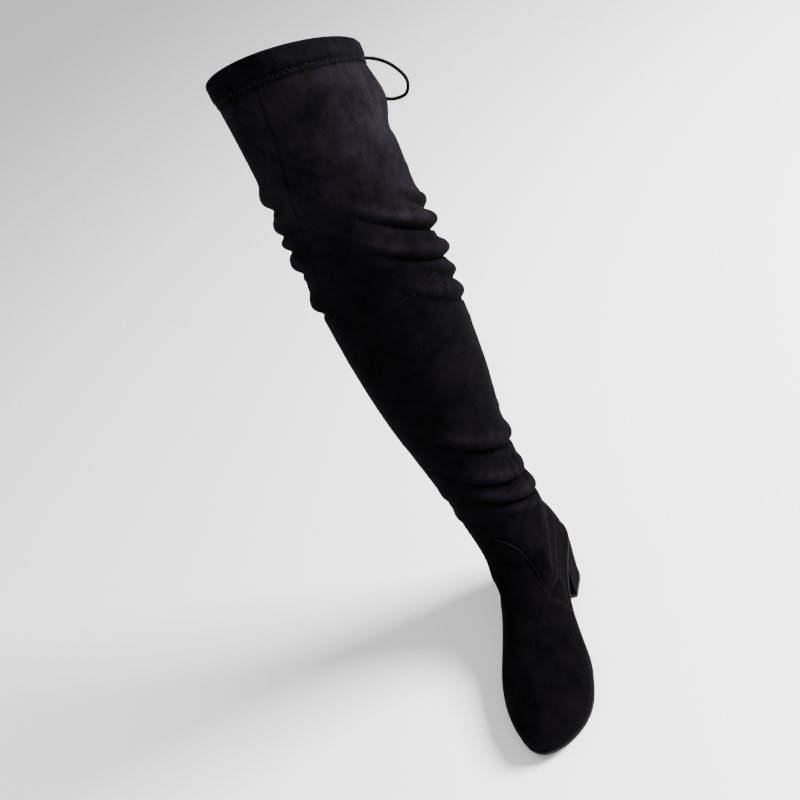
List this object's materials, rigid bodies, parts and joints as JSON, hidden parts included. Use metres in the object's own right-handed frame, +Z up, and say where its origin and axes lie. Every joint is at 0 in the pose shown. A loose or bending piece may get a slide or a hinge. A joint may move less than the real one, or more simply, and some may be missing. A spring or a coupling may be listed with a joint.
{
  "type": "thigh high boot",
  "caption": "Close-fitting thigh high boot for a right foot: stretch faux suede shaft, rounded toe, thin sole, covered block heel and a tie at the back of the cuff.",
  "frame": {"origin": "centre of the ground face of the heel's top piece", "axes": "+Z up along the shaft, -Y towards the toe, +X towards the wearer's inner (medial) side"},
  "size_m": [0.1296, 0.271, 0.64],
  "materials": {
    "suede": "matte black faux suede nap",
    "suede_folded": "matte black faux suede, turned edge",
    "rubber": "matt black rubber",
    "hard_rubber": "smooth dark brown-black rubber",
    "sock": "matte black microfibre",
    "tie": "matte black suede cord"
  },
  "bodies": {
    "root": {"outsole": "rubber", "heel_block": "suede", "heel_top_piece": "hard_rubber", "insole": "sock", "vamp": "suede", "shaft_lower": "suede", "shaft_upper": "suede", "cuff": "suede_folded", "drawstring_knot": "tie", "drawstring_lead_medial": "tie", "drawstring_lead_lateral": "tie", "drawstring_loop_medial": "tie", "drawstring_loop_lateral": "tie", "drawstring_tail_medial": "tie", "drawstring_tail_lateral": "tie"}
  },
  "joints": []
}
